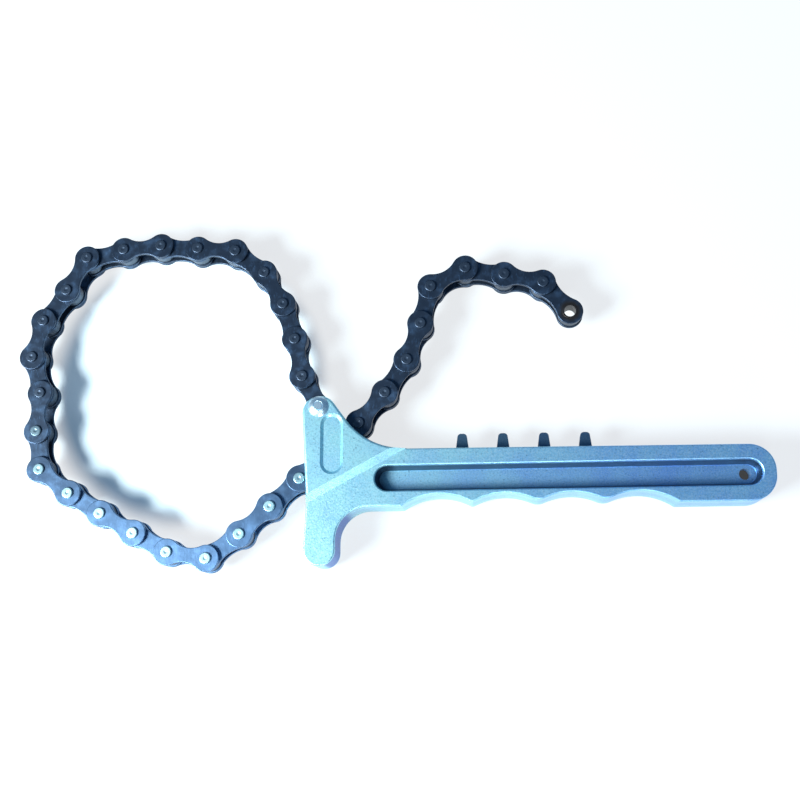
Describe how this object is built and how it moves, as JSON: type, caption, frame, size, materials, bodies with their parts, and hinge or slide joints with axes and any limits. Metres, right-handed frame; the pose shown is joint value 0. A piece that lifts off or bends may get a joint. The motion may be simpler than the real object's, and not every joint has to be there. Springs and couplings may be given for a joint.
{
  "type": "chain oil filter wrench",
  "caption": "Chain wrench for oil filters: a cast handle with a forked, nosed head, and a riveted roller chain looped back through the head's slot.",
  "frame": {"origin": "centre of the hanging hole, at mid thickness of the handle", "axes": "+X along the handle towards its rounded end, +Y towards the edge with the chain teeth, +Z along the hanging hole, out of the upper face"},
  "size_m": [0.239, 0.112, 0.0182],
  "materials": {
    "cast_handle": "sand-cast satin",
    "rivet_steel": "satin",
    "chain_steel": "oiled dark satin",
    "roller_steel": "oiled dark satin"
  },
  "bodies": {
    "handle": {"handle": "cast_handle", "anchor_rivet": "rivet_steel"},
    "link_01": {"inner_link_01": "chain_steel", "rollers_01": "roller_steel"},
    "link_02": {"outer_link_02": "chain_steel"},
    "link_03": {"inner_link_03": "chain_steel", "rollers_03": "roller_steel"},
    "link_04": {"outer_link_04": "chain_steel"},
    "link_05": {"inner_link_05": "chain_steel", "rollers_05": "roller_steel"},
    "link_06": {"outer_link_06": "chain_steel"},
    "link_07": {"inner_link_07": "chain_steel", "rollers_07": "roller_steel"},
    "link_08": {"outer_link_08": "chain_steel"},
    "link_09": {"inner_link_09": "chain_steel", "rollers_09": "roller_steel"},
    "link_10": {"outer_link_10": "chain_steel"},
    "link_11": {"inner_link_11": "chain_steel", "rollers_11": "roller_steel"},
    "link_12": {"outer_link_12": "chain_steel"},
    "link_13": {"inner_link_13": "chain_steel", "rollers_13": "roller_steel"},
    "link_14": {"outer_link_14": "chain_steel"},
    "link_15": {"inner_link_15": "chain_steel", "rollers_15": "roller_steel"},
    "link_16": {"outer_link_16": "chain_steel"},
    "link_17": {"inner_link_17": "chain_steel", "rollers_17": "roller_steel"},
    "link_18": {"outer_link_18": "chain_steel"},
    "link_19": {"inner_link_19": "chain_steel", "rollers_19": "roller_steel"},
    "link_20": {"outer_link_20": "chain_steel"},
    "link_21": {"inner_link_21": "chain_steel", "rollers_21": "roller_steel"},
    "link_22": {"outer_link_22": "chain_steel"},
    "link_23": {"inner_link_23": "chain_steel", "rollers_23": "roller_steel"},
    "link_24": {"outer_link_24": "chain_steel"},
    "link_25": {"inner_link_25": "chain_steel", "rollers_25": "roller_steel"},
    "link_26": {"outer_link_26": "chain_steel"},
    "link_27": {"inner_link_27": "chain_steel", "rollers_27": "roller_steel"},
    "link_28": {"outer_link_28": "chain_steel"},
    "link_29": {"inner_link_29": "chain_steel", "rollers_29": "roller_steel"},
    "link_30": {"outer_link_30": "chain_steel"},
    "link_31": {"inner_link_31": "chain_steel", "rollers_31": "roller_steel"},
    "link_32": {"outer_link_32": "chain_steel"},
    "link_33": {"inner_link_33": "chain_steel", "rollers_33": "roller_steel"}
  },
  "joints": [
    {"name": "cinch", "type": "hinge", "parent": "handle", "child": "link_01", "pos_m": [-0.1301, 0.02278, 0], "axis": [0, 0, 1], "range_deg": [-6.1, 1]},
    {"name": "loop_02", "type": "hinge", "parent": "link_01", "child": "link_02", "pos_m": [-0.13626, 0.03389, 0], "axis": [0, 0, 1], "range_deg": [-9.42, 1.56]},
    {"name": "loop_03", "type": "hinge", "parent": "link_02", "child": "link_03", "pos_m": [-0.1389, 0.04631, 0], "axis": [0, 0, 1], "range_deg": [-6.52, 1.08]},
    {"name": "loop_04", "type": "hinge", "parent": "link_03", "child": "link_04", "pos_m": [-0.14303, 0.05832, 0], "axis": [0, 0, 1], "range_deg": [-3.36, 0.56]},
    {"name": "loop_05", "type": "hinge", "parent": "link_04", "child": "link_05", "pos_m": [-0.14948, 0.06926, 0], "axis": [0, 0, 1], "range_deg": [-0.29, 1.69]},
    {"name": "loop_06", "type": "hinge", "parent": "link_05", "child": "link_06", "pos_m": [-0.15942, 0.07717, 0], "axis": [0, 0, 1], "range_deg": [-0.55, 3.29]},
    {"name": "loop_07", "type": "hinge", "parent": "link_06", "child": "link_07", "pos_m": [-0.17205, 0.07849, 0], "axis": [0, 0, 1], "range_deg": [-0.9, 5.4]},
    {"name": "loop_08", "type": "hinge", "parent": "link_07", "child": "link_08", "pos_m": [-0.18467, 0.07993, 0], "axis": [0, 0, 1], "range_deg": [-1.21, 7.33]},
    {"name": "loop_09", "type": "hinge", "parent": "link_08", "child": "link_09", "pos_m": [-0.19734, 0.07905, 0], "axis": [0, 0, 1], "range_deg": [-1.41, 8.52]},
    {"name": "loop_10", "type": "hinge", "parent": "link_09", "child": "link_10", "pos_m": [-0.20978, 0.07651, 0], "axis": [0, 0, 1], "range_deg": [-1.51, 9.12]},
    {"name": "loop_11", "type": "hinge", "parent": "link_10", "child": "link_11", "pos_m": [-0.21603, 0.06546, 0], "axis": [0, 0, 1], "range_deg": [-1.27, 7.67]},
    {"name": "loop_12", "type": "hinge", "parent": "link_11", "child": "link_12", "pos_m": [-0.22332, 0.05506, 0], "axis": [0, 0, 1], "range_deg": [-1.07, 6.43]},
    {"name": "loop_13", "type": "hinge", "parent": "link_12", "child": "link_13", "pos_m": [-0.22628, 0.04271, 0], "axis": [0, 0, 1], "range_deg": [-0.81, 4.84]},
    {"name": "loop_14", "type": "hinge", "parent": "link_13", "child": "link_14", "pos_m": [-0.22268, 0.03053, 0], "axis": [0, 0, 1], "range_deg": [-0.54, 3.24]},
    {"name": "loop_15", "type": "hinge", "parent": "link_14", "child": "link_15", "pos_m": [-0.22301, 0.01784, 0], "axis": [0, 0, 1], "range_deg": [-0.3, 1.76]},
    {"name": "loop_16", "type": "hinge", "parent": "link_15", "child": "link_16", "pos_m": [-0.22113, 0.00528, 0], "axis": [0, 0, 1], "range_deg": [-1.69, 0.29]},
    {"name": "loop_17", "type": "hinge", "parent": "link_16", "child": "link_17", "pos_m": [-0.21112, -0.00254, 0], "axis": [0, 0, 1], "range_deg": [-1.69, 0.29]},
    {"name": "loop_18", "type": "hinge", "parent": "link_17", "child": "link_18", "pos_m": [-0.2003, -0.00918, 0], "axis": [0, 0, 1], "range_deg": [-1.79, 0.31]},
    {"name": "loop_19", "type": "hinge", "parent": "link_18", "child": "link_19", "pos_m": [-0.1893, -0.01553, 0], "axis": [0, 0, 1], "range_deg": [-2.84, 0.48]},
    {"name": "loop_20", "type": "hinge", "parent": "link_19", "child": "link_20", "pos_m": [-0.17813, -0.02159, 0], "axis": [0, 0, 1], "range_deg": [-3.95, 0.66]},
    {"name": "loop_21", "type": "hinge", "parent": "link_20", "child": "link_21", "pos_m": [-0.16561, -0.02369, 0], "axis": [0, 0, 1], "range_deg": [-4.7, 0.78]},
    {"name": "loop_22", "type": "hinge", "parent": "link_21", "child": "link_22", "pos_m": [-0.15527, -0.01631, 0], "axis": [0, 0, 1], "range_deg": [-4.06, 0.68]},
    {"name": "loop_23", "type": "hinge", "parent": "link_22", "child": "link_23", "pos_m": [-0.14583, -0.00781, 0], "axis": [0, 0, 1], "range_deg": [-3.22, 0.54]},
    {"name": "loop_24", "type": "hinge", "parent": "link_23", "child": "link_24", "pos_m": [-0.13654, 0.00085, 0], "axis": [0, 0, 1], "range_deg": [-2.35, 0.4]},
    {"name": "loop_25", "type": "hinge", "parent": "link_24", "child": "link_25", "pos_m": [-0.12718, 0.00943, 0], "axis": [0, 0, 1], "range_deg": [-1.69, 0.29]},
    {"name": "tail_26", "type": "hinge", "parent": "link_25", "child": "link_26", "pos_m": [-0.11797, 0.01817, 0], "axis": [0, 0, 1], "range_deg": [-7, 8]},
    {"name": "tail_27", "type": "hinge", "parent": "link_26", "child": "link_27", "pos_m": [-0.10972, 0.02783, 0], "axis": [0, 0, 1], "range_deg": [-7, 8]},
    {"name": "tail_28", "type": "hinge", "parent": "link_27", "child": "link_28", "pos_m": [-0.10271, 0.03842, 0], "axis": [0, 0, 1], "range_deg": [-7, 10]},
    {"name": "tail_29", "type": "hinge", "parent": "link_28", "child": "link_29", "pos_m": [-0.09826, 0.05031, 0], "axis": [0, 0, 1], "range_deg": [-7, 10]},
    {"name": "tail_30", "type": "hinge", "parent": "link_29", "child": "link_30", "pos_m": [-0.09487, 0.06255, 0], "axis": [0, 0, 1], "range_deg": [-28, 35]},
    {"name": "tail_31", "type": "hinge", "parent": "link_30", "child": "link_31", "pos_m": [-0.08366, 0.06852, 0], "axis": [0, 0, 1], "range_deg": [-28, 35]},
    {"name": "tail_32", "type": "hinge", "parent": "link_31", "child": "link_32", "pos_m": [-0.07123, 0.06587, 0], "axis": [0, 0, 1], "range_deg": [-28, 35]},
    {"name": "tail_33", "type": "hinge", "parent": "link_32", "child": "link_33", "pos_m": [-0.05891, 0.0628, 0], "axis": [0, 0, 1], "range_deg": [-28, 35]}
  ],
  "couplings": [
    {"joint": "loop_02", "follows": "cinch", "ratio": 0.7712},
    {"joint": "loop_03", "follows": "cinch", "ratio": 0.5335},
    {"joint": "loop_04", "follows": "cinch", "ratio": 0.2739},
    {"joint": "loop_05", "follows": "cinch", "ratio": -0.1374},
    {"joint": "loop_06", "follows": "cinch", "ratio": -0.2682},
    {"joint": "loop_07", "follows": "cinch", "ratio": -0.4415},
    {"joint": "loop_08", "follows": "cinch", "ratio": -0.5993},
    {"joint": "loop_09", "follows": "cinch", "ratio": -0.6975},
    {"joint": "loop_10", "follows": "cinch", "ratio": -0.7465},
    {"joint": "loop_11", "follows": "cinch", "ratio": -0.6276},
    {"joint": "loop_12", "follows": "cinch", "ratio": -0.5258},
    {"joint": "loop_13", "follows": "cinch", "ratio": -0.3955},
    {"joint": "loop_14", "follows": "cinch", "ratio": -0.2643},
    {"joint": "loop_15", "follows": "cinch", "ratio": -0.1433},
    {"joint": "loop_16", "follows": "cinch", "ratio": 0.1374},
    {"joint": "loop_17", "follows": "cinch", "ratio": 0.1374},
    {"joint": "loop_18", "follows": "cinch", "ratio": 0.1458},
    {"joint": "loop_19", "follows": "cinch", "ratio": 0.2315},
    {"joint": "loop_20", "follows": "cinch", "ratio": 0.3229},
    {"joint": "loop_21", "follows": "cinch", "ratio": 0.3841},
    {"joint": "loop_22", "follows": "cinch", "ratio": 0.3313},
    {"joint": "loop_23", "follows": "cinch", "ratio": 0.2623},
    {"joint": "loop_24", "follows": "cinch", "ratio": 0.1916},
    {"joint": "loop_25", "follows": "cinch", "ratio": 0.1374}
  ]
}
